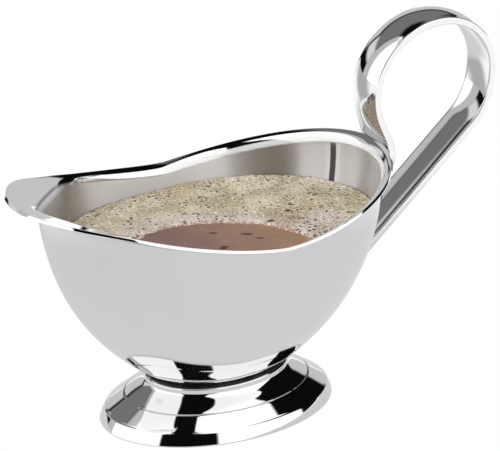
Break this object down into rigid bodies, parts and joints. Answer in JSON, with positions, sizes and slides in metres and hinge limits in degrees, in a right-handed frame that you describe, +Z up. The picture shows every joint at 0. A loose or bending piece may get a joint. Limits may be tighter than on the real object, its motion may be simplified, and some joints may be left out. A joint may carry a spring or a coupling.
{
  "type": "gravy boat",
  "caption": "Stainless-steel gravy boat: boat-shaped bowl with a broad pouring lip, oval pedestal foot and looped strap handle.",
  "frame": {"origin": "centre of the box round the whole boat, on the table", "axes": "+X from the spout towards the handle, +Z up, +Y to the right of someone who holds the handle and looks towards the spout"},
  "size_m": [0.1976, 0.0912, 0.1367],
  "materials": {
    "polished_bowl": "polished stainless steel, soft mirror",
    "polished_foot": "mirror-polished stainless steel",
    "polished_handle": "mirror-polished stainless steel",
    "weld_metal": "ground and buffed weld",
    "gravy": "wet brown gravy",
    "gravy_foam": "pale froth of fine bubbles"
  },
  "bodies": {
    "root": {"bowl": "polished_bowl", "foot": "polished_foot", "handle": "polished_handle", "foot_weld": "weld_metal", "handle_upper_weld": "weld_metal", "handle_lower_weld": "weld_metal"}
  },
  "joints": []
}
